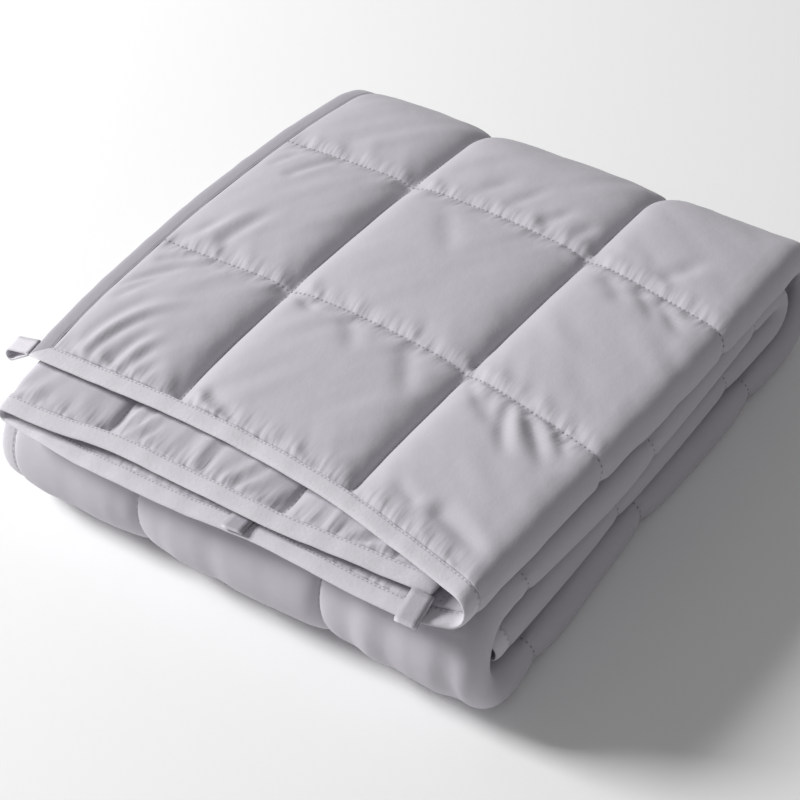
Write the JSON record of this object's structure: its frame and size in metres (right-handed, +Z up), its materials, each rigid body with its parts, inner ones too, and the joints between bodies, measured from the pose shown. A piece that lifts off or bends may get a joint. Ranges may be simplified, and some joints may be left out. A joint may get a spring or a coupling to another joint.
{
  "type": "folded quilted blanket",
  "caption": "Quilted weighted blanket folded into a neat layered stack, with a bound edge and small tape loops for tying it into a cover.",
  "frame": {"origin": "centre of the stack's box at the height of the surface it rests on", "axes": "+Z up; +X along the stack's front edge, towards the letter fold; +Y from the front fold to the back fold"},
  "size_m": [0.3848, 0.4126, 0.1067],
  "materials": {
    "shell_cloth": "matte",
    "binding_tape": "matte"
  },
  "bodies": {
    "root": {"quilted_body": "shell_cloth", "edge_binding": "binding_tape", "corner_loop": "binding_tape", "middle_loop": "binding_tape", "end_loop": "binding_tape"}
  },
  "joints": []
}
